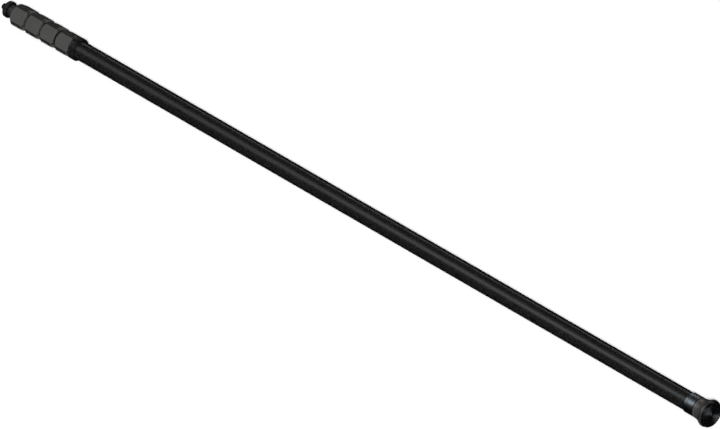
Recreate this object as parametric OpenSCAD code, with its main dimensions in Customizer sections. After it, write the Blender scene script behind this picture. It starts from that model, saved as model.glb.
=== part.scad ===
// Collapsible boom pole for a microphone, lying level and collapsed.
// Five round sections slide inside each other. Each joint between two sections has a threaded
// ferrule, a slotted collet and a faceted locking collar. The wide end carries a flared cap with
// a rubber foot, and the thin end carries a threaded stud.
// The origin is the middle of the foot's face. The pole runs along -X, away from the foot,
// and "along" below is the distance from that face, measured on the pole's axis.

/* [Pole] */
// Length of the collapsed pole, from the foot's face to the end of the stud
collapsed_length = 1523; // [1500:1:1800]
// How far each inner section slides out
travel = 1220; // [600:10:1220]

/* [Tubes] */
// Outside diameter of the main tube
main_od = 30; // [29:0.5:30]
// Difference in outside diameter between one section and the next
od_step = 4.5; // [4.4:0.1:4.6]
// Wall thickness of every tube
tube_wall = 1; // [0.8:0.1:1.1]

/* [Locking collars] */
// Length of one collar
collar_length = 29; // [28.5:0.5:31]
// Distance from the start of one collar to the start of the next
collar_pitch = 33; // [33:0.5:36]
// Number of flats round a collar
flats = 4; // [4:1:6]
// Distance from the axis to each flat
flat_distance = 16.8; // [16.6:0.1:17.2]
// Radius of the turned bar that the flats are milled on
collar_r = 20.4; // [19.6:0.1:21]
// Length of the cone at the front of a collar
cone_length = 6; // [4:0.5:8]
// Turn of the collar nearest the foot, from a flat that faces up and to the front
first_turn = 7.5; // [0:0.5:20]
// Further turn of each collar after it
turn_step = 0.7; // [0:0.1:5]

/* [Foot end] */
// Largest radius of the flared cap, which is its rim
rim_r = 22.1; // [20:0.1:24]
// Radius of the rubber foot
foot_r = 21; // [20:0.1:22]
// Radius of the sleeve on the end of the main tube
sleeve_r = 16.4; // [16.2:0.1:17]
// Length of the flare
flare_length = 19; // [16:1:24]
// Number of grooves in the foot's face
foot_grooves = 3; // [0:1:3]

/* [Tip] */
// Diameter of the threaded stud, 3/8 inch
stud_d = 9.525; // [6:0.005:10]
// Length of stud that stands out of the washer
stud_length = 9; // [6:0.5:14]
// Radius of the flange behind the stud
flange_r = 13.5; // [12:0.1:15]
// Thickness of the flange
flange_t = 7; // [5:0.5:9]
// Radius of the neck between the flange and the first section
neck_r = 9.8; // [9:0.1:11]

/* [Hidden] */
STAGES = 4;
$fn = 96;

// Stations along the pole at the tip
stud_end = collapsed_length;
washer_t = 1;
washer_front = stud_end - stud_length;
flange_front = washer_front - washer_t;
flange_back = flange_front - flange_t;
neck_length = 11.4;
neck_back = flange_back - neck_length;
stud_root = flange_front - 9;
tip_tube_end = stud_root - 1;

// Stations of the collars, counted from the foot: collar 1 locks section 2
front_gap = 1.6;
last_collar = neck_back - front_gap - collar_length;
first_collar = last_collar - (STAGES - 1) * collar_pitch;
function collar_at(n) = first_collar + (n - 1) * collar_pitch;

// Radii of the sections, counted from the foot: section 1 is the main tube
function section_r(n) = (main_od - od_step * (n - 1)) / 2;
function bore_r(n) = section_r(n) - tube_wall;

// Edges of a collar
collar_edge = 0.9;
front_chamfer = 1.2;

// The thread under a collar
thread_wall = 1.25;
collar_wall = 2.7;
function thread_r(n) = min(section_r(n) + thread_wall, flat_distance - collar_wall);
thread_clearance = 0.08;
ferrule_nose = 17;
ferrule_lip = 10;
ferrule_back = 1.1;
ferrule_flange_t = 0.8;
ferrule_flange_r = 13.4;
slide_clearance = 0.12;

// The skirt of the first ferrule, which is the round ring behind the collars
skirt_length = 12.6;
skirt_front = 0.4;
skirt_r = 18.3;
skirt_round = 2.5;
skirt_groove = 0.6;

// Ends of the tubes
main_tube_back = 29;
main_tube_end = first_collar - 1.5;
inner_back = 55;
function tube_back(n) = n == 1 ? main_tube_back : inner_back + (n - 2) * collar_pitch;
function tube_end(n) =
    n == 1 ? main_tube_end : n == STAGES + 1 ? tip_tube_end : collar_at(n) + ferrule_lip;

// The collet: a slotted cone between the ferrule and the collar
collet_back = ferrule_nose + 0.1;
collet_front = collar_length - 2.8;
collet_grip = 0.03;
collet_tip_wall = 0.55;
collet_play = 0.12;
collet_slots = 6;
collet_slot_w = 1;
function collet_base_r(n) = thread_r(n) - 0.4;
function collet_tip_r(n) = section_r(n + 1) + collet_tip_wall;
lip_clearance = 0.4;

// The bush glued on the inner end of a section, and the split ring that it turns in
bush_play = 0.15;
bush_lip = 2;
stop_gap = 0.5;
ring_length = 8;
ring_back = 12;
ring_floor = 0.45;
ring_play = 0.05;
ring_slide = 0.03;
ring_split = 1.5;
function bush_length(n) = tube_end(n - 1) - tube_back(n) - travel - stop_gap;

// The foot end
foot_lip = 5;
rim_t = 3.4;
flare_back = foot_lip + rim_t;
flare_front = flare_back + flare_length;
seal_t = 1;
sleeve_back = flare_front + seal_t;
sleeve_front = 47;
foot_neck_r = 17;
foot_neck = 6;
spigot_r = 11;
spigot_length = 15;
spigot_bore = 8;
plug_front = 46;
plug_clearance = 0.05;
bumper_t = 6;
bumper_bore = 8;
groove_w = 1.4;
groove_depth = 1;
groove_pitch = 4;
groove_first = 7;

// The tip
stud_chamfer = 0.8;
stud_relief = 0.3;
flute_r = 0.5;
flutes = 36;
grub_r = 1.5;
grub_socket_r = 0.9;
grub_at = neck_back + 4;
grub_turns = [90, 200];

// Direction that the front flats face before they are turned, from straight up
facet_turn = -45;

// ------------------------------------------------------------------ helpers

// Puts a shape made along +Z on the pole's axis, "from" away from the foot's face
module on_axis(from = 0) {
    translate([-from, 0, 0]) rotate([0, -90, 0]) children();
}

// A round tube on the pole's axis
module ring(from, to, outer, inner) {
    on_axis(from) difference() {
        cylinder(r = outer, h = to - from);
        translate([0, 0, -1]) cylinder(r = inner, h = to - from + 2);
    }
}

// A profile of [radius, along] points spun round the pole's axis
module spun(points) {
    on_axis() rotate_extrude() polygon(points);
}

// Points of an arc, from angle a to angle b
function arc(centre, r, a, b, steps = 8) = [
    for (i = [0 : steps]) centre + r * [cos(a + (b - a) * i / steps), sin(a + (b - a) * i / steps)]
];

// ------------------------------------------------------------------ tubes

module tube(n) {
    color("dimgray") ring(tube_back(n), tube_end(n), section_r(n), bore_r(n));
}

// The bush on the inner end of section n, with a groove for its split ring
module end_bush(n) {
    start = tube_back(n) - bush_lip;
    stop = tube_back(n) + bush_length(n);
    groove = tube_back(n) + ring_back;
    color("ivory") spun([
        [bore_r(n) - 1, start],
        [bore_r(n - 1) - bush_play, start],
        [bore_r(n - 1) - bush_play, groove],
        [section_r(n) + ring_floor, groove],
        [section_r(n) + ring_floor, groove + ring_length],
        [bore_r(n - 1) - bush_play, groove + ring_length],
        [bore_r(n - 1) - bush_play, stop],
        [section_r(n), stop],
        [section_r(n), tube_back(n)],
        [bore_r(n) - 1, tube_back(n)]
    ]);
}

// The split ring that rubs on the bore of the section outside
module guide_ring(n) {
    start = tube_back(n) + ring_back + ring_play;
    stop = start + ring_length - 2 * ring_play;
    color("white") difference() {
        ring(start, stop, bore_r(n - 1) - ring_slide, section_r(n) + ring_floor + ring_play);
        on_axis(start - 1) translate([0, -ring_split / 2, -1])
            cube([main_od, ring_split, ring_length + 4]);
    }
}

// ------------------------------------------------------------------ locks

// The ring and thread on the end of the main tube
module first_ferrule() {
    at = collar_at(1);
    back = at - skirt_front - skirt_length;
    front = at - skirt_front;
    groove = [for (g = [6, 9]) each [
        [skirt_r, back + g], [skirt_r - skirt_groove, back + g + 0.4],
        [skirt_r - skirt_groove, back + g + 1], [skirt_r, back + g + 1.4]
    ]];
    color("black") spun(concat(
        [[section_r(1), main_tube_end], [section_r(1), back]],
        arc([skirt_r - skirt_round, back + skirt_round], skirt_round, -90, 0),
        groove,
        [
            [skirt_r, front - 0.5],
            [skirt_r - 0.5, front],
            [thread_r(1), front],
            [thread_r(1), at + ferrule_nose - 0.6],
            [thread_r(1) - 0.4, at + ferrule_nose],
            [section_r(2) + slide_clearance, at + ferrule_nose],
            [section_r(2) + slide_clearance, main_tube_end]
        ]
    ));
}

// The thread on the end of an inner section
module inner_ferrule(n) {
    at = collar_at(n);
    flange = max(thread_r(n), ferrule_flange_r);
    color("black") spun([
        [section_r(n), at - ferrule_back],
        [flange, at - ferrule_back],
        [flange, at - ferrule_back + ferrule_flange_t],
        [thread_r(n), at - ferrule_back + ferrule_flange_t],
        [thread_r(n), at + ferrule_nose - 0.6],
        [thread_r(n) - 0.4, at + ferrule_nose],
        [section_r(n + 1) + slide_clearance, at + ferrule_nose],
        [section_r(n + 1) + slide_clearance, at + ferrule_lip],
        [section_r(n), at + ferrule_lip]
    ]);
}

module ferrule(n) {
    if (n == 1) first_ferrule();
    else inner_ferrule(n);
}

// The slotted cone that the collar squeezes on the inner section
module collet(n) {
    at = collar_at(n);
    color("ivory") difference() {
        on_axis(at + collet_back) difference() {
            cylinder(r1 = collet_base_r(n), r2 = collet_tip_r(n), h = collet_front - collet_back);
            translate([0, 0, -1])
                cylinder(r = section_r(n + 1) + collet_grip, h = collet_front - collet_back + 2);
        }
        for (i = [0 : collet_slots - 1])
            on_axis(at + collet_back + 2.5) rotate([0, 0, i * 360 / collet_slots])
                translate([0, -collet_slot_w / 2, 0]) cube([main_od, collet_slot_w, collar_length]);
    }
}

// The outside of a collar along +Z: a turned bar with a cone in front, milled to flats
module collar_body() {
    difference() {
        union() {
            cylinder(r1 = collar_r - collar_edge, r2 = collar_r, h = collar_edge);
            translate([0, 0, collar_edge])
                cylinder(r = collar_r, h = collar_length - cone_length - collar_edge);
            translate([0, 0, collar_length - cone_length])
                cylinder(r1 = collar_r, r2 = flat_distance - front_chamfer, h = cone_length);
        }
        for (i = [0 : flats - 1])
            rotate([0, 0, i * 360 / flats])
                translate([flat_distance, -2 * collar_r, -1])
                    cube([collar_r, 4 * collar_r, collar_length + 2]);
    }
}

// A locking collar: a threaded bore behind, a cone for the collet, and a lip in front
module collar(n) {
    cavity = ferrule_nose + 0.6;
    cavity_end = collet_front + 0.2;
    slope = (collet_base_r(n) - collet_tip_r(n)) / (collet_front - collet_back);
    cavity_r1 = collet_base_r(n) + collet_play - slope * (cavity - collet_back);
    cavity_r2 = cavity_r1 - slope * (cavity_end - cavity);
    color("dimgray") on_axis(collar_at(n))
        rotate([0, 0, facet_turn - first_turn - (n - 1) * turn_step]) difference() {
            collar_body();
            translate([0, 0, -1]) cylinder(r = thread_r(n) + thread_clearance, h = cavity + 1);
            translate([0, 0, cavity - 0.01])
                cylinder(r1 = cavity_r1, r2 = cavity_r2, h = cavity_end - cavity + 0.01);
            translate([0, 0, cavity])
                cylinder(r = section_r(n + 1) + lip_clearance, h = collar_length);
        }
}

// ------------------------------------------------------------------ foot end

module base_sleeve() {
    color("dimgray") spun([
        [section_r(1), sleeve_back],
        [sleeve_r, sleeve_back],
        [sleeve_r, sleeve_front - 1],
        [section_r(1) + 0.3, sleeve_front],
        [section_r(1), sleeve_front]
    ]);
}

module base_plug() {
    color("silver") ring(main_tube_back, plug_front, bore_r(1), spigot_r + plug_clearance);
}

module bumper() {
    color("darkslategray") ring(plug_front, plug_front + bumper_t, bore_r(1) - 0.2, bumper_bore);
}

module cap_seal() {
    color("black") ring(flare_front, flare_front + seal_t - 0.1, sleeve_r - 0.3, spigot_r + 0.1);
}

// The flared cap: rim, concave flare, threaded spigot, and a recess for the foot
module base_cap() {
    rise = rim_r - sleeve_r;
    bow_r = (rise * rise + flare_length * flare_length) / (2 * rise);
    bow_a = asin(flare_length / bow_r);
    centre = [sleeve_r + bow_r, flare_front];
    color("black") spun(concat(
        [
            [0, foot_lip + foot_neck],
            [foot_neck_r, foot_lip + foot_neck],
            [foot_neck_r, foot_lip],
            [rim_r - 0.6, foot_lip],
            [rim_r, foot_lip + 0.6],
            [rim_r, flare_back - 0.4]
        ],
        arc(centre, bow_r, 180 + bow_a, 180, 14),
        [
            [spigot_r, flare_front],
            [spigot_r, flare_front + spigot_length - 1],
            [spigot_r - 1, flare_front + spigot_length],
            [spigot_bore, flare_front + spigot_length],
            [spigot_bore, foot_lip + foot_neck + 4],
            [0, foot_lip + foot_neck + 4]
        ]
    ));
}

// The rubber foot, with rings cut in its face
module foot_pad() {
    edge = 1.6;
    grooves = [for (g = [0 : 1 : foot_grooves - 1]) each [
        [groove_first + g * groove_pitch - groove_w / 2, 0],
        [groove_first + g * groove_pitch - groove_w / 4, groove_depth],
        [groove_first + g * groove_pitch + groove_w / 4, groove_depth],
        [groove_first + g * groove_pitch + groove_w / 2, 0]
    ]];
    color("black") spun(concat(
        [[0, foot_lip + foot_neck], [0, 0]],
        grooves,
        arc([foot_r - edge, edge], edge, -90, 0),
        [
            [foot_r, foot_lip],
            [foot_neck_r, foot_lip],
            [foot_neck_r, foot_lip + foot_neck]
        ]
    ));
}

// ------------------------------------------------------------------ tip

// The turned end piece: a neck over the thin section and a fluted flange
module tip_adapter() {
    round_r = 2.2;
    color("black") difference() {
        spun(concat(
            [
                [section_r(STAGES + 1), neck_back],
                [neck_r - 0.5, neck_back],
                [neck_r, neck_back + 0.5],
                [neck_r, flange_back],
                [flange_r - 0.8, flange_back],
                [flange_r, flange_back + 0.8]
            ],
            arc([flange_r - round_r, flange_front - round_r], round_r, 0, 90),
            [
                [stud_d / 2 - stud_relief, flange_front],
                [stud_d / 2 - stud_relief, tip_tube_end],
                [section_r(STAGES + 1), tip_tube_end]
            ]
        ));
        for (i = [0 : flutes - 1])
            on_axis(flange_back - 1) rotate([0, 0, i * 360 / flutes])
                translate([flange_r + 0.1, 0, 0]) cylinder(r = flute_r, h = flange_t + 2, $fn = 16);
        for (a = grub_turns)
            on_axis(grub_at) rotate([0, 90, a]) cylinder(r = grub_r, h = neck_r + 1);
    }
}

module tip_washer() {
    color("black") ring(flange_front, washer_front, flange_r - 3.5, stud_d / 2 + 0.1);
}

// The stud: a root held in the end piece, and the free thread in front
module tip_stud() {
    free = stud_length - stud_chamfer;
    root = washer_front - stud_root;
    color("silver") on_axis(stud_root) {
        cylinder(r = stud_d / 2 - stud_relief, h = root);
        translate([0, 0, root]) cylinder(d = stud_d, h = free);
        translate([0, 0, root + free])
            cylinder(d1 = stud_d, d2 = stud_d - 2 * stud_chamfer, h = stud_chamfer);
    }
}

// Two grub screws that hold the end piece on the thin section
module tip_screws() {
    start = section_r(STAGES + 1);
    color("silver") for (a = grub_turns)
        on_axis(grub_at) rotate([0, 90, a]) translate([0, 0, start]) difference() {
            cylinder(r = grub_r, h = neck_r - start - 0.4);
            translate([0, 0, neck_r - start - 2]) cylinder(r = grub_socket_r, h = 3, $fn = 6);
        }
}

// ------------------------------------------------------------------ nodes

tube(1);  // main_tube
for (i = [2 : STAGES + 1]) {
    tube(i);
    end_bush(i);
    guide_ring(i);
}
for (i = [1 : STAGES]) {
    ferrule(i);
    collet(i);
    collar(i);
}
base_sleeve();
base_plug();
bumper();
cap_seal();
base_cap();
foot_pad();
tip_adapter();
tip_washer();
tip_stud();
tip_screws();
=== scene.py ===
import math

import bmesh
import bpy
from mathutils import Matrix, Vector

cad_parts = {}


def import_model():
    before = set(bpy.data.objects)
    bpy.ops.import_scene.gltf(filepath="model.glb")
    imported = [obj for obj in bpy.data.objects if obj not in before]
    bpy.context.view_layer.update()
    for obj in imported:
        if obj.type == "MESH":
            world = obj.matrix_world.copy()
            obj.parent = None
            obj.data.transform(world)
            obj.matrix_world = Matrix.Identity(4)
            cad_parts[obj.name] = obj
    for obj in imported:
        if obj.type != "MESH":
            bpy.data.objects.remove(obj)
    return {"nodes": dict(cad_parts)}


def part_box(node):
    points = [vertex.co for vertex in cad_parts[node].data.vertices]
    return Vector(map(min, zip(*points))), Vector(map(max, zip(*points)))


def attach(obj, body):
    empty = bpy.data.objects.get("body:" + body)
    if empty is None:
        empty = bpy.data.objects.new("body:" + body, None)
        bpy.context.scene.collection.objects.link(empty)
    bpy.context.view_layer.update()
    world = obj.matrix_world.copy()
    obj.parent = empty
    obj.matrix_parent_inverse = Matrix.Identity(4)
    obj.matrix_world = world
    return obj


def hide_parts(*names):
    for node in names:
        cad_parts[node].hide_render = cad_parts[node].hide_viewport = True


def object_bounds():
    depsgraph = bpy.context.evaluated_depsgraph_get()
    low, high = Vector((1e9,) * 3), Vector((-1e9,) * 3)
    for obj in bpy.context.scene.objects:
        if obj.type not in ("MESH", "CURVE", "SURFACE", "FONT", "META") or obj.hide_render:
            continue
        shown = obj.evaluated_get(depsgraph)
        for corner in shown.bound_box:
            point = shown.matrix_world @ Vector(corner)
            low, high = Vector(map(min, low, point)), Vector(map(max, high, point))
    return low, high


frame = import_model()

MM = 0.001
CAD_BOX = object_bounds()


# ---------------------------------------------------------------- sizes and places

def span(node):
    """Where a CAD node starts and ends along the pole, from the foot's face, and its largest radius."""
    low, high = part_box(node)
    return -high.x, -low.x, max(-low.y, -low.z, high.y, high.z)


SECTIONS = range(2, 6)
STAGES = range(1, 5)
TUBE_R = {1: span("main_tube")[2], **{n: span(f"tube_{n}")[2] for n in SECTIONS}}
COLLAR_AT = {n: span(f"collar_{n}")[0] for n in STAGES}
COLLAR_LENGTH = span("collar_1")[1] - COLLAR_AT[1]
POLE_LENGTH = span("tip_stud")[1]
MIDDLE = Vector((-POLE_LENGTH / 2, 0, 0))

# Sizes of the design that a node's box doesn't tell
WALL = 1.0 * MM
FLATS = 4
FLAT_DISTANCE = 16.8 * MM
COLLAR_BAR_R = 20.4 * MM
CONE_LENGTH = 6.0 * MM
FRONT_R = FLAT_DISTANCE - 1.2 * MM
FACET_TURN = {n: math.radians(-45 - 7.5 - 0.7 * (n - 1)) for n in STAGES}
THREAD_R = {n: min(TUBE_R[n] + 1.25 * MM, FLAT_DISTANCE - 2.7 * MM) for n in STAGES}
NOSE = 17.0 * MM
SLIDE_CLEARANCE = 0.12 * MM
STUD_PITCH = 25.4 / 16 * MM
COLLAR_PITCH = 1.52 * MM


# ---------------------------------------------------------------- mesh helpers

def soften(points, radius, steps=4, closed=True):
    """Rounds every corner of an outline of (along, radius) points with a short arc."""
    count = len(points)
    out = []
    for i, (u, r) in enumerate(points):
        here = Vector((u, r))
        if r < 1e-6 or (not closed and i in (0, count - 1)):
            out.append((u, r))
            continue
        before, after = Vector(points[i - 1]) - here, Vector(points[(i + 1) % count]) - here
        bend = before.angle(after)
        if bend > math.radians(165):
            out.append((u, r))
            continue
        back = min(radius / math.tan(bend / 2), 0.4 * before.length, 0.4 * after.length)
        start, end = here + before.normalized() * back, here + after.normalized() * back
        for k in range(steps + 1):
            t = k / steps
            p = start.lerp(here, t).lerp(here.lerp(end, t), t)
            out.append((p.x, p.y))
    return out


def even_angles(count):
    return [2 * math.pi * i / count for i in range(count)]


def turned(name, outline, angles, closed=True):
    """A piece spun round the pole's axis from (along, radius) points. A radius may be a function
    of the angle, which is counted from straight up towards +Y. An open outline starts and ends
    on the axis."""
    bm = bmesh.new()
    rings = []
    for u, r in outline:
        if not callable(r) and r < 1e-6:
            rings.append([bm.verts.new((-u, 0, 0))])
            continue
        ring = []
        for a in angles:
            radius = r(a) if callable(r) else r
            ring.append(bm.verts.new((-u, radius * math.sin(a), radius * math.cos(a))))
        rings.append(ring)
    pairs = list(zip(rings, rings[1:]))
    if closed:
        pairs.append((rings[-1], rings[0]))
    for a, b in pairs:
        for i in range(len(angles)):
            j = (i + 1) % len(angles)
            corners = [a[i], a[j], b[j], b[i]] if len(a) > 1 and len(b) > 1 else (
                [a[0], b[j], b[i]] if len(a) == 1 else [a[i], a[j], b[0]])
            bm.faces.new(corners)
    bmesh.ops.recalc_face_normals(bm, faces=bm.faces)
    mesh = bpy.data.meshes.new(name)
    bm.to_mesh(mesh)
    bm.free()
    piece = bpy.data.objects.new(name, mesh)
    bpy.context.scene.collection.objects.link(piece)
    return piece


def mark_wear_and_highlight(mesh):
    """Stores, per point, how sharply the surface bends outwards there, so a finish can lighten at edges:
    rubbed wear, and a painted highlight along the edges.
    """
    flat, full = math.radians(6), math.radians(24)
    bm = bmesh.new()
    bm.from_mesh(mesh)
    bends = []
    for vert in bm.verts:
        sharpest = max((e.calc_face_angle_signed(0.0) for e in vert.link_edges), default=0.0)
        bends.append(min(max((sharpest - flat) / (full - flat), 0.0), 1.0))
    bm.free()
    layer = mesh.attributes.new("wear_and_highlight", "FLOAT", "POINT")
    layer.data.foreach_set("value", bends)


def mark_dark(mesh, chosen):
    """Stores, per point, whether a piece's darker colour goes there: a second, darker finish on the end
    piece's flange, a darker rim on the cap, and painted shade on the lands between a collar's flats. chosen
    is asked with each point.
    """
    layer = mesh.attributes.new("dark", "FLOAT", "POINT")
    layer.data.foreach_set("value", [float(chosen(v.co)) for v in mesh.vertices])


def finish_piece(piece, body, nodes, material):
    """Shades a piece and gives it its finish and its body, and hides the CAD nodes it stands for."""
    mark_wear_and_highlight(piece.data)
    piece.data.shade_smooth()
    normals = piece.modifiers.new("even_shading", "WEIGHTED_NORMAL")
    normals.weight = 80
    piece.data.materials.clear()
    piece.data.materials.append(material)
    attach(piece, body)
    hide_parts(*nodes)
    return piece


# ---------------------------------------------------------------- materials

def new_material(name, base, roughness, metallic=0.0, specular=0.5):
    """A material with a Principled shader, returned with its nodes, links and shader."""
    mat = bpy.data.materials.new(name)
    mat.use_nodes = True
    nodes, links = mat.node_tree.nodes, mat.node_tree.links
    shader = nodes["Principled BSDF"]
    shader.inputs["Base Color"].default_value = (*base, 1)
    shader.inputs["Roughness"].default_value = roughness
    shader.inputs["Metallic"].default_value = metallic
    shader.inputs["Specular IOR Level"].default_value = specular
    return mat, nodes, links, shader


def noise(nodes, links, stretch, scale, detail=4.0, rough=0.6):
    """Noise in the row frame, stretched per axis."""
    coords = nodes.new("ShaderNodeTexCoord")
    mapping = nodes.new("ShaderNodeMapping")
    mapping.inputs["Scale"].default_value = stretch
    field = nodes.new("ShaderNodeTexNoise")
    field.inputs["Scale"].default_value = scale
    field.inputs["Detail"].default_value = detail
    field.inputs["Roughness"].default_value = rough
    links.new(coords.outputs["Object"], mapping.inputs["Vector"])
    links.new(mapping.outputs["Vector"], field.inputs["Vector"])
    return field.outputs["Fac"]


def ramp(nodes, links, source, low, high, start=0.3, end=0.7):
    """source, taken from start..end to low..high."""
    node = nodes.new("ShaderNodeMapRange")
    node.inputs["From Min"].default_value = start
    node.inputs["From Max"].default_value = end
    node.inputs["To Min"].default_value = low
    node.inputs["To Max"].default_value = high
    links.new(source, node.inputs["Value"])
    return node.outputs["Result"]


def combine(nodes, links, operation, a, b):
    node = nodes.new("ShaderNodeMath")
    node.operation = operation
    for socket, value in zip(node.inputs, (a, b)):
        if isinstance(value, (int, float)):
            socket.default_value = value
        else:
            links.new(value, socket)
    return node.outputs["Value"]


def mix_colour(nodes, links, factor, a, b):
    """A colour between a and b. Either may be a colour or an earlier mix."""
    node = nodes.new("ShaderNodeMix")
    node.data_type = "RGBA"
    for socket, value in ((node.inputs["A"], a), (node.inputs["B"], b)):
        if isinstance(value, tuple):
            socket.default_value = (*value, 1)
        else:
            links.new(value, socket)
    links.new(factor, node.inputs["Factor"])
    return node.outputs["Result"]


def bump(nodes, links, shader, height, distance, strength=1.0):
    node = nodes.new("ShaderNodeBump")
    node.inputs["Distance"].default_value = distance
    node.inputs["Strength"].default_value = strength
    links.new(height, node.inputs["Height"])
    links.new(node.outputs["Normal"], shader.inputs["Normal"])
    return node


def edge_wear_and_highlight(nodes, links, amount):
    """Where edges have rubbed, with a painted edge highlight in the same mark: the bend stored on the mesh,
    broken up by noise.
    """
    bend = nodes.new("ShaderNodeAttribute")
    bend.attribute_name = "wear_and_highlight"
    patches = ramp(nodes, links, noise(nodes, links, (1, 1, 1), 420, 5, 0.7), 0, amount, 0.42, 0.62)
    return combine(nodes, links, "MULTIPLY", bend.outputs["Fac"], patches)


def darker(nodes, links, colour, dark):
    """colour, or dark where a piece is marked for it."""
    mark = nodes.new("ShaderNodeAttribute")
    mark.attribute_name = "dark"
    return mix_colour(nodes, links, mark.outputs["Fac"], colour, dark)


def anodised_finish(name, base, light, roughness, worn_and_highlight, across=False, specular=0.5, dark=None):
    """Black anodised metal: lines drawn along a tube or turned across it, cloudy satin, edges lightened as
    rubbing and as a painted highlight.
    """
    mat, nodes, links, shader = new_material(name, base, roughness, specular=specular)
    lines = noise(nodes, links, (2600, 5, 5) if across else (4, 1500, 1500), 1.0, 5)
    cloud = noise(nodes, links, (14, 60, 60), 1.0, 4)
    specks = noise(nodes, links, (1, 1, 1), 3200, 2)
    colour = mix_colour(nodes, links, ramp(nodes, links, cloud, 0, 1), base, light)
    speckled = ramp(nodes, links, specks, 0, 0.2, 0.68, 0.8)
    colour = mix_colour(nodes, links, speckled, colour, (0.02, 0.02, 0.021))
    if dark:
        colour = darker(nodes, links, colour, dark)
    # Lighter edges: rubbed wear, and also a painted highlight along the edges.
    colour = mix_colour(nodes, links, edge_wear_and_highlight(nodes, links, 0.35), colour, worn_and_highlight)
    links.new(colour, shader.inputs["Base Color"])
    links.new(ramp(nodes, links, cloud, roughness - 0.03, roughness + 0.04), shader.inputs["Roughness"])
    bump(nodes, links, shader, lines, 0.000015, 0.45)
    return mat


def collar_finish():
    """Charcoal bead-blasted flats, with painted shade on the rounded lands between them, and edges lightened
    as rubbing and as a painted highlight.
    """
    mat, nodes, links, shader = new_material("charcoal_collar", (0.04, 0.039, 0.036), 0.56)
    grain = noise(nodes, links, (1, 1, 1), 2200, 3)
    cloud = noise(nodes, links, (30, 90, 90), 1.0, 5)
    dull, bright, grit = (0.031, 0.0305, 0.0285), (0.039, 0.0385, 0.036), (0.054, 0.053, 0.05)
    colour = mix_colour(nodes, links, ramp(nodes, links, cloud, 0, 1), dull, bright)
    colour = mix_colour(nodes, links, ramp(nodes, links, grain, 0, 0.5, 0.55, 0.8), colour, grit)
    # Painted shade: the lands between the flats are painted far darker than the flats.
    colour = darker(nodes, links, colour, (0.011, 0.011, 0.0105))
    # Lighter edges: rubbed wear, and also a painted highlight along the edges.
    colour = mix_colour(nodes, links, edge_wear_and_highlight(nodes, links, 0.5), colour, (0.12, 0.12, 0.115))
    links.new(colour, shader.inputs["Base Color"])
    links.new(ramp(nodes, links, cloud, 0.52, 0.62), shader.inputs["Roughness"])
    bump(nodes, links, shader, grain, 0.00003, 0.6)
    return mat


def rubber_finish(name, base, roughness):
    """Moulded rubber: a fine pebbled skin with dusty patches."""
    mat, nodes, links, shader = new_material(name, base, roughness, specular=0.4)
    grain = noise(nodes, links, (1, 1, 1), 1500, 5)
    cloud = noise(nodes, links, (1, 1, 1), 130, 4)
    colour = mix_colour(nodes, links, ramp(nodes, links, cloud, 0, 1), base, tuple(1.8 * c for c in base))
    links.new(colour, shader.inputs["Base Color"])
    links.new(ramp(nodes, links, cloud, roughness - 0.07, roughness + 0.08), shader.inputs["Roughness"])
    bump(nodes, links, shader, grain, 0.00003, 0.4)
    return mat


def metal_finish(name, base, roughness):
    """Bare turned metal, with fine rings from the tool and duller patches."""
    mat, nodes, links, shader = new_material(name, base, roughness, metallic=1.0)
    rings = noise(nodes, links, (2600, 8, 8), 1.0, 4)
    cloud = noise(nodes, links, (1, 1, 1), 240, 4)
    colour = mix_colour(nodes, links, ramp(nodes, links, cloud, 0, 1), base, tuple(0.78 * c for c in base))
    links.new(colour, shader.inputs["Base Color"])
    links.new(ramp(nodes, links, cloud, roughness - 0.06, roughness + 0.1), shader.inputs["Roughness"])
    bump(nodes, links, shader, rings, 0.00001, 0.6)
    return mat


def plastic_finish(name, base):
    """Machined acetal, slightly waxy, with faint tool rings."""
    mat, nodes, links, shader = new_material(name, base, 0.42)
    rings = noise(nodes, links, (1800, 10, 10), 1.0, 3)
    cloud = noise(nodes, links, (1, 1, 1), 180, 4)
    colour = mix_colour(nodes, links, ramp(nodes, links, cloud, 0, 1), base, tuple(0.88 * c for c in base))
    links.new(colour, shader.inputs["Base Color"])
    links.new(ramp(nodes, links, cloud, 0.36, 0.5), shader.inputs["Roughness"])
    bump(nodes, links, shader, rings, 0.00001, 0.4)
    return mat


TUBE = anodised_finish("satin_black_tube", (0.0015, 0.0015, 0.0014), (0.0022, 0.0022, 0.002), 0.26,
                       (0.1, 0.1, 0.1))
TURNED = anodised_finish("black_turned", (0.0006, 0.0006, 0.0007), (0.0012, 0.0012, 0.0012), 0.36,
                         (0.1, 0.1, 0.1), across=True, specular=0.2)
NECK = anodised_finish("grey_black_turned", (0.005, 0.005, 0.0053), (0.0065, 0.0065, 0.0068), 0.42,
                       (0.12, 0.12, 0.12), across=True, dark=(0.0008, 0.0008, 0.0008))
CAP = anodised_finish("cap_grey_brown", (0.034, 0.0325, 0.0305), (0.042, 0.040, 0.0375), 0.3,
                      (0.13, 0.125, 0.12), across=True, specular=1.0, dark=(0.013, 0.0125, 0.012))
SLEEVE = metal_finish("sleeve_satin", (0.32, 0.36, 0.4), 0.36)
COLLAR = collar_finish()
RUBBER = rubber_finish("black_rubber", (0.0014, 0.0014, 0.0014), 0.25)
STEEL = metal_finish("dark_steel", (0.12, 0.12, 0.125), 0.35)
ALLOY = metal_finish("bare_alloy", (0.6, 0.61, 0.63), 0.32)
ACETAL = plastic_finish("natural_acetal", (0.55, 0.53, 0.48))


# ---------------------------------------------------------------- tubes and locks

def build_tubes():
    for n in [1, *SECTIONS]:
        node = "main_tube" if n == 1 else f"tube_{n}"
        back, front, r = span(node)
        outline = soften([(back, r), (front, r), (front, r - WALL), (back, r - WALL)], 0.3 * MM, 3)
        piece = turned(f"{node}_shell", outline, even_angles(144))
        finish_piece(piece, "main" if n == 1 else f"section_{n}", [node], TUBE)


def soft_min(a, b, blend):
    """The smaller of two radii, with the crease between them rounded."""
    near = max(blend - abs(a - b), 0) / blend
    return min(a, b) - near * near * blend / 4


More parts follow.
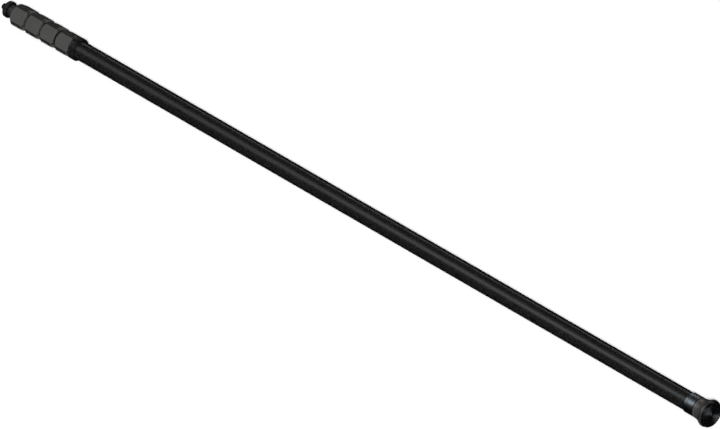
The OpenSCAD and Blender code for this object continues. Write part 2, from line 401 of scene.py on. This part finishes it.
def milled(turn, distance, bar_r):
    """Radius, by angle, of a round bar with FLATS flats milled at a distance from the axis."""
    half = math.pi / FLATS

    def radius(angle):
        off = abs((angle - turn + half) % (2 * half) - half)
        return soft_min(distance / math.cos(off), bar_r, 0.35 * MM)
    return radius


def collar_angles(turn):
    """Even steps round a collar, with fine ones where its flats end."""
    half = math.pi / FLATS
    edge = math.acos(FLAT_DISTANCE / COLLAR_BAR_R)
    fine = math.radians(0.6)
    offsets = [-half + 2 * half * i / 40 for i in range(40)]
    for side in (-edge, edge):
        offsets = [off for off in offsets if abs(off - side) > 4.5 * fine]
        offsets += [side + fine * k for k in range(-4, 5)]
    offsets.sort()
    return [turn + 2 * half * k + off for k in range(FLATS) for off in offsets]


def build_collar(n):
    """A locking collar: a bar with four flats, a chamfered rear edge, a conical front, and a plain bore that
    runs over the thread.
    """
    at, turn = COLLAR_AT[n], FACET_TURN[n]
    chamfer = 0.5 * MM
    lip_r = TUBE_R[n + 1] + 0.4 * MM
    bore_r = THREAD_R[n] + 0.08 * MM
    cone_start = COLLAR_LENGTH - CONE_LENGTH

    def body(z, inset=0.0):
        """Outside at z from the collar's back, inset from the flats."""
        section = milled(turn, FLAT_DISTANCE - inset, COLLAR_BAR_R - 1.4 * inset)
        cone = COLLAR_BAR_R - max(z - cone_start, 0) * (COLLAR_BAR_R - FRONT_R) / CONE_LENGTH
        return lambda a: soft_min(section(a), cone, 0.25 * MM)

    rear = [(z * chamfer, body(0, inset * chamfer)) for z, inset in ((0, 1), (0.1, 0.8), (0.8, 0.1), (1, 0))]
    sides = [(0.75 * MM, body(0)), (2 * MM, body(0)), (cone_start - 2 * MM, body(0))]
    steps = 20
    cone = []
    for i in range(steps + 1):
        z = cone_start - 0.5 * MM + (CONE_LENGTH - 0.1 * MM) * i / steps
        cone.append((z, body(z)))
    outline = [*rear, *sides, *cone]
    cavity, cavity_end = NOSE + 0.6 * MM, COLLAR_LENGTH - 2.6 * MM
    base_r, tip_r = THREAD_R[n] - 0.4 * MM, TUBE_R[n + 1] + 0.55 * MM
    inside = [
        (COLLAR_LENGTH - 0.1 * MM, FRONT_R - 0.15 * MM),
        (COLLAR_LENGTH, FRONT_R - 0.4 * MM),
        (COLLAR_LENGTH, lip_r + 0.3 * MM),
        (COLLAR_LENGTH - 0.3 * MM, lip_r),
        (cavity_end, lip_r),
        (cavity_end, max(tip_r + 0.1 * MM, lip_r)),
        (cavity, base_r + 0.1 * MM),
        (cavity, bore_r),
        (0.6 * MM, bore_r),
        (0, bore_r + 0.5 * MM),
    ]
    outline = [(at + z, r) for z, r in [*outline, *inside]]
    piece = turned(f"locking_collar_{n}", outline, collar_angles(turn))
    # Marks the lands between the flats, which take painted shade.
    half, edge = math.pi / FLATS, math.acos(FLAT_DISTANCE / COLLAR_BAR_R) + math.radians(0.3)
    mark_dark(piece.data, lambda p: abs((math.atan2(p.y, p.z) - turn + half) % (2 * half) - half) > edge)
    finish_piece(piece, f"collar_{n}", [f"collar_{n}"], COLLAR)


def threaded(radius, depth, pitch, at):
    """Radius, by angle, of a screw thread at a place along the pole."""
    def profile(angle):
        phase = (at / pitch + angle / (2 * math.pi)) % 1.0
        slope = abs(2 * phase - 1)
        return radius - depth * min(max((slope - 0.12) / 0.76, 0), 1)
    return profile


def thread_rings(start, end, radius, depth, pitch, per_turn=10):
    """Outline points of a thread from start to end, which runs out at both ends."""
    count = max(2, round((end - start) / pitch * per_turn))
    points = []
    for i in range(count + 1):
        u = start + (end - start) * i / count
        runout = min((u - start) / pitch, (end - u) / pitch, 1.0)
        points.append((u, threaded(radius, depth * runout, pitch, u)))
    return points


def build_first_ferrule():
    """The ring behind the collars, with three turned grooves, and the first thread in front of it."""
    back, front, skirt_r = span("ferrule_1")
    at = COLLAR_AT[1]
    skirt_front = at - 0.4 * MM
    tube_front = span("main_tube")[1]
    round_r, groove = 2.5 * MM, 0.6 * MM
    rounding = []
    for i in range(9):
        a = math.radians(-90 + 90 * i / 8)
        rounding.append((back + round_r + round_r * math.sin(a), skirt_r - round_r + round_r * math.cos(a)))
    grooves = []
    for g in (4.2 * MM, 6.6 * MM, 9.0 * MM):
        for i in range(7):
            t = i / 6
            grooves.append((back + g + 1.3 * MM * t, skirt_r - groove * math.sin(math.pi * t)))
    bore_r = TUBE_R[2] + SLIDE_CLEARANCE
    outline = [
        (tube_front, TUBE_R[1]), (back, TUBE_R[1]), *rounding, *grooves,
        (skirt_front - 0.5 * MM, skirt_r), (skirt_front, skirt_r - 0.5 * MM), (skirt_front, THREAD_R[1]),
        *thread_rings(at + 1 * MM, front - 0.8 * MM, THREAD_R[1], 0.45 * MM, COLLAR_PITCH),
        (front - 0.4 * MM, THREAD_R[1]), (front, THREAD_R[1] - 0.4 * MM),
        (front, bore_r), (tube_front, bore_r),
    ]
    piece = turned("first_ferrule", outline, even_angles(144))
    finish_piece(piece, "main", ["ferrule_1"], TURNED)


def build_inner_ferrule(n):
    """The thread on the end of section n, behind it a thin flange that the collar rests on."""
    back, front, flange_r = span(f"ferrule_{n}")
    flange = 0.8 * MM
    step = COLLAR_AT[n] + 10 * MM
    bore_r = TUBE_R[n + 1] + SLIDE_CLEARANCE
    lead = front - 0.6 * MM
    head = [(back, TUBE_R[n]), (back, flange_r - 0.2 * MM), (back + 0.2 * MM, flange_r),
            (back + flange - 0.2 * MM, flange_r), (back + flange, flange_r - 0.2 * MM)]
    outline = [
        *head, (back + flange + 0.1 * MM, min(THREAD_R[n], flange_r - 0.2 * MM)),
        *thread_rings(back + 1.6 * MM, lead, THREAD_R[n], 0.45 * MM, COLLAR_PITCH),
        (front, THREAD_R[n] - 0.4 * MM), (front, bore_r), (step, bore_r), (step, TUBE_R[n]),
    ]
    piece = turned(f"inner_ferrule_{n}", outline, even_angles(128))
    finish_piece(piece, f"section_{n}", [f"ferrule_{n}"], TURNED)


# ---------------------------------------------------------------- foot end

def build_sleeve():
    back, front, r = span("base_sleeve")
    outline = soften([(back, TUBE_R[1]), (back, r), (front - 1 * MM, r), (front, TUBE_R[1] + 0.3 * MM),
                      (front, TUBE_R[1])], 0.2 * MM, 3)
    piece = turned("end_sleeve", outline, even_angles(144))
    finish_piece(piece, "main", ["base_sleeve"], SLEEVE)


def build_cap():
    """The flared cap: a beaded rim, a concave flare with two fine grooves, and the threaded spigot."""
    rim_back, end, rim_r = span("base_cap")
    rim_front = rim_back + 3.4 * MM
    front = span("cap_seal")[0]
    neck_r = span("base_sleeve")[2]
    foot_neck_r, recess = 17 * MM, rim_back + 6 * MM
    spigot_r, bore_r = 11 * MM, 8 * MM
    length, rise = front - rim_front, rim_r - neck_r
    bow = (rise ** 2 + length ** 2) / (2 * rise)
    flare = []
    for i in range(33):
        u = rim_front + 0.4 * MM + (length - 0.8 * MM) * i / 32
        r = neck_r + bow - math.sqrt(bow ** 2 - (front - u) ** 2)
        for groove in (rim_front + 1.1 * MM, front - 3.4 * MM):
            r -= 0.35 * MM * math.exp(-((u - groove) / (0.35 * MM)) ** 2)
        flare.append((u, r))
    outline = [
        (recess, 0), (recess, foot_neck_r), (rim_back, foot_neck_r),
        *soften([(rim_back, foot_neck_r), (rim_back, rim_r), (rim_front, rim_r), (front, neck_r)],
                1.1 * MM, 6, False)[1:-1],
        *flare[2:],
        (front, neck_r - 0.3 * MM), (front, spigot_r),
        *thread_rings(front + 0.6 * MM, end - 1.2 * MM, spigot_r, 0.5 * MM, 1.5 * MM),
        (end, spigot_r - 1 * MM), (end, bore_r), (recess + 4 * MM, bore_r), (recess + 4 * MM, 0),
    ]
    piece = turned("flared_cap", outline, even_angles(144), closed=False)
    mark_dark(piece.data, lambda p: -p.x < rim_front + 0.3 * MM)
    finish_piece(piece, "base_cap", ["base_cap"], CAP)


def build_foot():
    """The rubber foot: a round edge and rounded rings moulded in its face."""
    face, back, r = span("foot_pad")
    lip, neck_r, edge = 5 * MM, 17 * MM, 2.2 * MM
    first, pitch, depth = 3 * MM, 4 * MM, 1.0 * MM
    outline = [(back, 0), (face + 0.5 * MM, 0)]
    outer = r - edge
    for i in range(1, 97):
        ring_r = outer * i / 96
        wave = 0.5 + 0.5 * math.cos(2 * math.pi * (ring_r - first) / pitch)
        fade = min(max((outer - ring_r) / (1.2 * MM), 0), 1) * min(ring_r / first, 1)
        outline.append((face + depth * fade * wave, ring_r))
    outline[0:2] = [(face + 0.1 * MM, 0)]
    for i in range(1, 9):
        a = math.radians(90 * i / 8)
        outline.append((face + edge - edge * math.cos(a), outer + edge * math.sin(a)))
    outline += [(face + lip - 0.5 * MM, r), (face + lip, r - 0.5 * MM), (face + lip, neck_r),
                (back, neck_r), (back, 0)]
    piece = turned("rubber_foot", outline, even_angles(144), closed=False)
    finish_piece(piece, "base_cap", ["foot_pad"], RUBBER)


# ---------------------------------------------------------------- tip

def build_adapter():
    """The end piece: a neck with two grub-screw holes, and a rounded fluted flange."""
    neck_back, flange_front, flange_r = span("tip_adapter")
    neck_r = 9.8 * MM
    stud_r = span("tip_stud")[2] - 0.3 * MM
    flange_back = flange_front - 7 * MM
    last_r = TUBE_R[5]
    tube_front = span("tube_5")[1]
    flutes, flute = 36, 0.45 * MM

    def fluted(radius, share):
        return lambda a: radius - share * flute * max(math.cos(flutes * a), 0) ** 1.5

    rounded = soften([(flange_back, neck_r), (flange_back, flange_r), (flange_front, flange_r),
                      (flange_front, stud_r)], 2.2 * MM, 8, False)[1:-1]
    reach = flange_front - flange_back
    rim = []
    for u, r in rounded:
        middle = 1 - abs(2 * (u - flange_back) / reach - 1)
        rim.append((u, fluted(r, min(middle * 2.2, 1)) if r > flange_r - 2 * MM else r))
    outline = [
        (neck_back, last_r), (neck_back, neck_r - 0.5 * MM), (neck_back + 0.2 * MM, neck_r - 0.15 * MM),
        (neck_back + 0.5 * MM, neck_r), (flange_back - 0.6 * MM, neck_r),
        (flange_back - 0.2 * MM, neck_r + 0.15 * MM), (flange_back, neck_r + 0.6 * MM), *rim,
        (flange_front, stud_r), (tube_front, stud_r), (tube_front, last_r),
    ]
    piece = turned("end_piece", outline, even_angles(288))
    drill_screw_holes(piece, neck_r)
    mark_dark(piece.data, lambda p: -p.x > flange_back - 0.1 * MM)
    finish_piece(piece, "section_5", ["tip_adapter"], NECK)


def drill_screw_holes(piece, neck_r):
    """Cuts the two holes that the CAD grub screws sit in."""
    low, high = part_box("tip_screws")
    station, hole_r = (low.x + high.x) / 2, 1.55 * MM
    bm = bmesh.new()
    for turn in (90, 200):
        a = math.radians(turn)
        out = Vector((0, math.sin(a), math.cos(a)))
        facing = out.to_track_quat("Z", "X").to_matrix().to_4x4()
        place = Matrix.Translation(Vector((station, 0, 0)) + out * neck_r) @ facing
        bmesh.ops.create_cone(bm, cap_ends=True, segments=32, radius1=hole_r, radius2=hole_r,
                              depth=9 * MM, matrix=place)
    mesh = bpy.data.meshes.new("drill")
    bm.to_mesh(mesh)
    bm.free()
    drill = bpy.data.objects.new("drill", mesh)
    bpy.context.scene.collection.objects.link(drill)
    cut = piece.modifiers.new("screw_holes", "BOOLEAN")
    cut.object = drill
    cut.solver = "EXACT"
    bpy.context.view_layer.update()
    drilled = bpy.data.meshes.new_from_object(piece.evaluated_get(bpy.context.evaluated_depsgraph_get()))
    piece.modifiers.clear()
    piece.data = drilled
    bpy.data.objects.remove(drill)


def build_stud():
    """The 3/8 inch stud with its real thread, chamfered at the end."""
    root, end, r = span("tip_stud")
    washer = span("tip_washer")[1]
    depth = 0.54 * STUD_PITCH
    outline = [
        (root, 0), (root, r - 0.3 * MM), (washer, r - 0.3 * MM),
        *thread_rings(washer, end - 0.6 * MM, r, depth, STUD_PITCH, 14),
        (end - 0.15 * MM, r - depth), (end, r - depth - 0.3 * MM), (end, 0),
    ]
    piece = turned("threaded_stud", outline, even_angles(96), closed=False)
    finish_piece(piece, "section_5", ["tip_stud"], STEEL)


def build_washer():
    back, front, r = span("tip_washer")
    inner = span("tip_stud")[2] + 0.1 * MM
    outline = soften([(back, inner), (back, r), (front, r), (front, inner)], 0.3 * MM, 4)
    piece = turned("rubber_washer", outline, even_angles(96))
    finish_piece(piece, "section_5", ["tip_washer"], RUBBER)


build_tubes()
for stage in STAGES:
    build_collar(stage)
build_first_ferrule()
for stage in STAGES[1:]:
    build_inner_ferrule(stage)
build_sleeve()
build_cap()
build_foot()
build_adapter()
build_washer()
build_stud()

# CAD nodes that keep their own shape
CAD_FINISH = {"collet": ACETAL, "end_bush": ACETAL, "guide_ring": ACETAL, "base_plug": ALLOY,
              "bumper": RUBBER, "cap_seal": RUBBER, "tip_screws": STEEL}
for node, obj in frame["nodes"].items():
    for start, material in CAD_FINISH.items():
        if node.startswith(start):
            obj.data.materials.clear()
            obj.data.materials.append(material)


# ---------------------------------------------------------------- stage, light and camera

def direction(azimuth, elevation):
    """Unit vector towards an azimuth and elevation, counted as the camera's are."""
    a, e = math.radians(azimuth), math.radians(elevation)
    return Vector((math.sin(a) * math.cos(e), -math.cos(a) * math.cos(e), math.sin(e)))


TO_CAMERA = direction(45, math.degrees(math.asin(1 / math.sqrt(3))))
SIDE = Vector((0, TO_CAMERA.y, TO_CAMERA.z)).normalized()
OVER = Vector((0, TO_CAMERA.z, -TO_CAMERA.y)).normalized()
LEAN = TO_CAMERA.x / math.hypot(TO_CAMERA.y, TO_CAMERA.z)


def softbox(name, place, along, out, length, width, power, colour):
    """A rectangular light that only gloss shows, facing back along out."""
    light = bpy.data.lights.new(name, "AREA")
    light.shape = "RECTANGLE"
    light.size, light.size_y = length, width
    light.energy = power
    light.color = colour
    obj = bpy.data.objects.new(name, light)
    axes = Matrix((along, out.cross(along), out)).transposed().to_4x4()
    obj.matrix_world = Matrix.Translation(place) @ axes
    bpy.context.scene.collection.objects.link(obj)
    obj.visible_diffuse = False
    obj.visible_camera = False


def strip_light(name, turn, length, width, power, offset=0.0, colour=(1, 1, 1)):
    """A softbox parallel to the pole, 2 m away. turn goes round the pole from the camera's side over
    its top. It is moved along so that the whole pole mirrors it to the camera."""
    a, distance = math.radians(turn), 2.0
    out = SIDE * math.cos(a) + OVER * math.sin(a)
    place = MIDDLE + out * distance + Vector((offset - LEAN * distance, 0, 0))
    softbox(name, place, Vector((1, 0, 0)), out, length, width, power, colour)


def sun_light(name, towards, strength, spread):
    """A soft sun that gloss doesn't show."""
    sun = bpy.data.lights.new(name, "SUN")
    sun.energy = strength
    sun.angle = math.radians(spread)
    obj = bpy.data.objects.new(name, sun)
    obj.rotation_mode = "QUATERNION"
    obj.rotation_quaternion = (-towards).to_track_quat("-Z", "Y")
    bpy.context.scene.collection.objects.link(obj)
    obj.visible_glossy = False
    return obj


def lights():
    strip_light("key", 2, 5.0, 1.2, 13)
    strip_light("key_spill", 2, 5.0, 2.2, 11)
    strip_light("foot_key", 0, 0.8, 0.8, 2.0, POLE_LENGTH / 2 - 0.2, (0.75, 0.88, 1))
    strip_light("over", 93, 5.0, 0.16, 6.5, colour=(1, 0.93, 0.88))
    softbox("foot_end", Vector((2, 0, 0)), Vector((0, 1, 0)), Vector((1, 0, 0)), 1.6, 0.9, 16, (0.82, 0.9, 1))
    sun_light("room", TO_CAMERA, 5.6, 8)


def floor():
    low = CAD_BOX[0].z
    mesh = bpy.data.meshes.new("floor")
    s = 400
    mesh.from_pydata([(-s, -s, low), (s, -s, low), (s, s, low), (-s, s, low)], [], [(0, 1, 2, 3)])
    obj = bpy.data.objects.new("floor", mesh)
    bpy.context.scene.collection.objects.link(obj)
    mesh.materials.append(new_material("floor_white", (0.9, 0.9, 0.9), 0.9, specular=0.0)[0])
    obj.visible_glossy = False


def world():
    """A dim white room for diffuse light, dark to gloss, and seen as bright behind the floor's edge."""
    sky = bpy.data.worlds.new("studio")
    bpy.context.scene.world = sky
    sky.use_nodes = True
    nodes, links = sky.node_tree.nodes, sky.node_tree.links
    rays = nodes.new("ShaderNodeLightPath")
    room = nodes["Background"]
    room.inputs["Color"].default_value = (1, 1, 1, 1)
    not_gloss = combine(nodes, links, "SUBTRACT", 1.0, rays.outputs["Is Glossy Ray"])
    dim = combine(nodes, links, "MULTIPLY", not_gloss, 0.2)
    seen = combine(nodes, links, "MULTIPLY", rays.outputs["Is Camera Ray"], 0.8)
    strength = combine(nodes, links, "ADD", dim, seen)
    links.new(strength, room.inputs["Strength"])


def camera():
    """An isometric view down a very long lens, with the foot near and the tip far."""
    cam = bpy.data.cameras.new("camera")
    cam.sensor_width = 36
    cam.lens = 922.0
    cam.clip_start, cam.clip_end = 1, 200
    right = (-TO_CAMERA).cross(Vector((0, 0, 1))).normalized()
    up = right.cross(-TO_CAMERA)
    aim = MIDDLE + right * 0.01136 - up * 0.01091
    obj = bpy.data.objects.new("camera", cam)
    obj.location = aim + TO_CAMERA * 28.0
    obj.rotation_mode = "QUATERNION"
    obj.rotation_quaternion = (-TO_CAMERA).to_track_quat("-Z", "Y")
    bpy.context.scene.collection.objects.link(obj)
    bpy.context.scene.camera = obj


lights()
floor()
world()
camera()
bpy.context.scene.view_settings.view_transform = "Standard"
